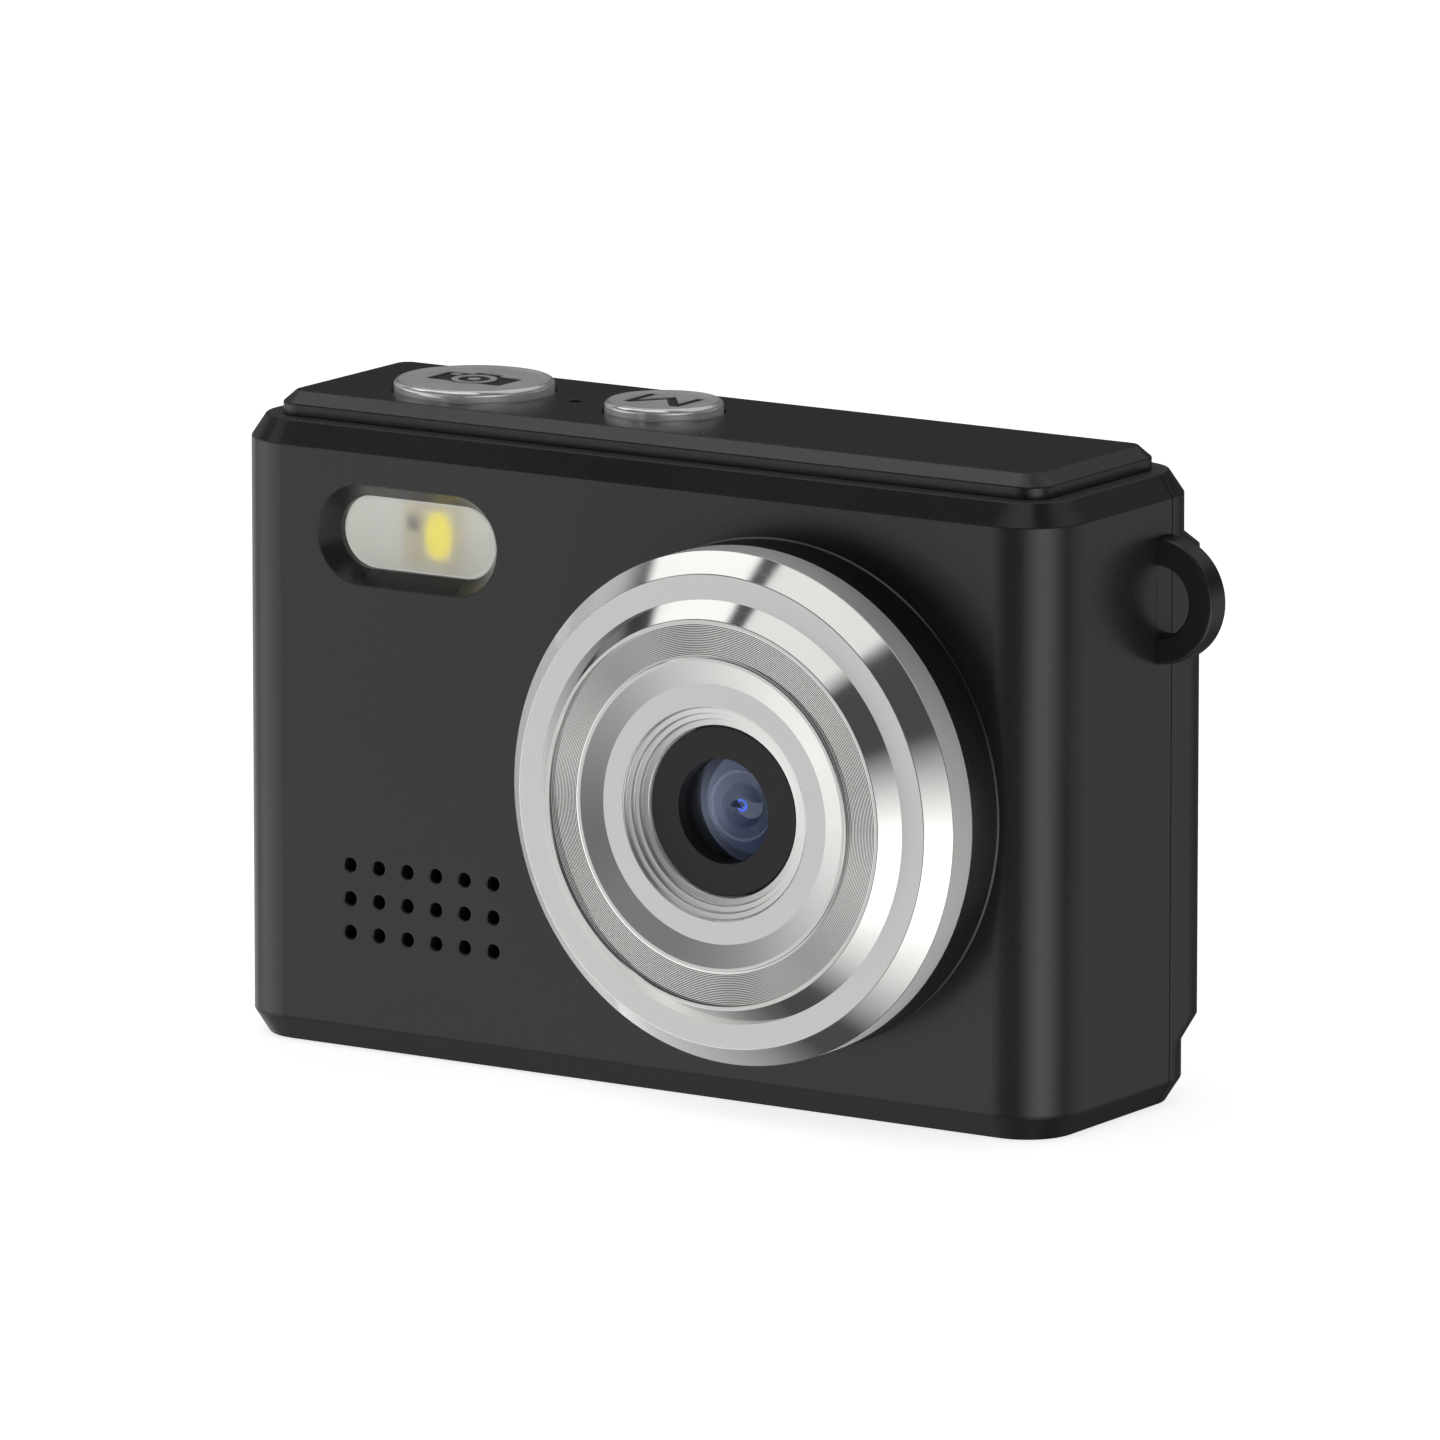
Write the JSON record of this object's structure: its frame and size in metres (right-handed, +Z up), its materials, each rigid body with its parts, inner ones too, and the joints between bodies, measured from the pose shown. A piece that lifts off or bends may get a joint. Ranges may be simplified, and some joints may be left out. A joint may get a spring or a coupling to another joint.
{
  "type": "compact digital camera",
  "caption": "Small black digital camera with a stepped silver lens ring, flash window, speaker grille, top buttons, rear display and keys, and a half-round strap eye.",
  "frame": {"origin": "centre of the flat underside of the case", "axes": "+X to the right seen from the front, +Y from the lens towards the display, +Z up"},
  "size_m": [0.0852, 0.0376, 0.0551],
  "materials": {
    "case_plastic": "satin black moulded ABS",
    "sleeve_plastic": "satin black",
    "satin_aluminium": "turned: polished bevels, satin flats, fine grooves",
    "disc_black": "fine matt black",
    "inner_black": "matt black",
    "aperture_plate": "matt black with a bright edge",
    "coated_glass": "polished, blue-grey anti-reflection coating",
    "inner_glass": "polished, deep blue anti-reflection coating",
    "filter_glass": "polished",
    "sensor_silicon": "polished silicon",
    "diffuser": "frosted clear acrylic",
    "white_plastic": "white moulded",
    "phosphor": "yellow phosphor",
    "chip_black": "moulded epoxy",
    "circuit_board": "green solder mask",
    "flex_film": "amber polyimide",
    "connector_plastic": "cream nylon",
    "speaker_housing": "black moulded",
    "speaker_film": "thin film",
    "foam": "closed-cell foam",
    "wire_red_black": "insulated wire",
    "mic_can": "plated can",
    "battery_pouch": "foil pouch",
    "display_cover": "clear acrylic over a black mask",
    "display_dark": "switched-off liquid crystal panel",
    "socket_steel": "stamped steel",
    "screw_steel": "black oxide",
    "button_silver": "satin plated crown, polished rim",
    "stem_plastic": "black nylon",
    "key_plastic": "satin black"
  },
  "bodies": {
    "camera": {"front_cover": "case_plastic", "rear_cover": "case_plastic", "top_cover": "case_plastic", "strap_lug": "case_plastic", "lens_sleeve": "sleeve_plastic", "lens_trim_ring": "satin_aluminium", "lens_front_disc": "disc_black", "lens_barrel": "inner_black", "lens_holder": "inner_black", "microphone_boot": "inner_black", "aperture_ring": "aperture_plate", "front_lens": "coated_glass", "middle_lens": "inner_glass", "rear_lens": "inner_glass", "infrared_filter": "filter_glass", "image_sensor": "sensor_silicon", "flash_window": "diffuser", "flash_reflector": "white_plastic", "display_frame": "white_plastic", "flash_phosphor": "phosphor", "flash_diode": "chip_black", "processor_chip": "chip_black", "memory_chip": "chip_black", "usb_tongue": "chip_black", "sensor_board": "circuit_board", "flash_board": "circuit_board", "main_board": "circuit_board", "button_board": "circuit_board", "key_board": "circuit_board", "sensor_flex": "flex_film", "display_flex": "flex_film", "button_flex": "flex_film", "key_flex": "flex_film", "flex_connectors": "connector_plastic", "flash_led": "connector_plastic", "speaker_frame": "speaker_housing", "speaker_diaphragm": "speaker_film", "speaker_gasket": "foam", "flash_leads": "wire_red_black", "speaker_leads": "wire_red_black", "battery_leads": "wire_red_black", "microphone": "mic_can", "battery": "battery_pouch", "display_window": "display_cover", "display_panel": "display_dark", "usb_socket": "socket_steel", "card_socket": "socket_steel", "key_domes": "socket_steel", "top_switches": "socket_steel", "case_screws": "screw_steel", "board_screws": "screw_steel"},
    "shutter": {"shutter_button": "button_silver", "shutter_stem": "stem_plastic"},
    "mode": {"mode_button": "button_silver", "mode_stem": "stem_plastic"},
    "key_up": {"key_up": "key_plastic"},
    "key_down": {"key_down": "key_plastic"},
    "key_left": {"key_left": "key_plastic"},
    "key_right": {"key_right": "key_plastic"},
    "key_ok": {"key_ok": "key_plastic"}
  },
  "joints": [
    {"name": "shutter_press", "type": "slide", "parent": "camera", "child": "shutter", "axis": [0, 0, -1], "range_m": [0, 0.0005], "stiffness_N_per_m": 2500, "springref_m": -0.0002},
    {"name": "mode_press", "type": "slide", "parent": "camera", "child": "mode", "axis": [0, 0, -1], "range_m": [0, 0.0005], "stiffness_N_per_m": 2500, "springref_m": -0.0002},
    {"name": "key_up_press", "type": "slide", "parent": "camera", "child": "key_up", "axis": [0, -1, 0], "range_m": [0, 0.0003], "stiffness_N_per_m": 2500, "springref_m": -0.0002},
    {"name": "key_down_press", "type": "slide", "parent": "camera", "child": "key_down", "axis": [0, -1, 0], "range_m": [0, 0.0003], "stiffness_N_per_m": 2500, "springref_m": -0.0002},
    {"name": "key_left_press", "type": "slide", "parent": "camera", "child": "key_left", "axis": [0, -1, 0], "range_m": [0, 0.0003], "stiffness_N_per_m": 2500, "springref_m": -0.0002},
    {"name": "key_right_press", "type": "slide", "parent": "camera", "child": "key_right", "axis": [0, -1, 0], "range_m": [0, 0.0003], "stiffness_N_per_m": 2500, "springref_m": -0.0002},
    {"name": "key_ok_press", "type": "slide", "parent": "camera", "child": "key_ok", "axis": [0, -1, 0], "range_m": [0, 0.0003], "stiffness_N_per_m": 2500, "springref_m": -0.0002}
  ]
}
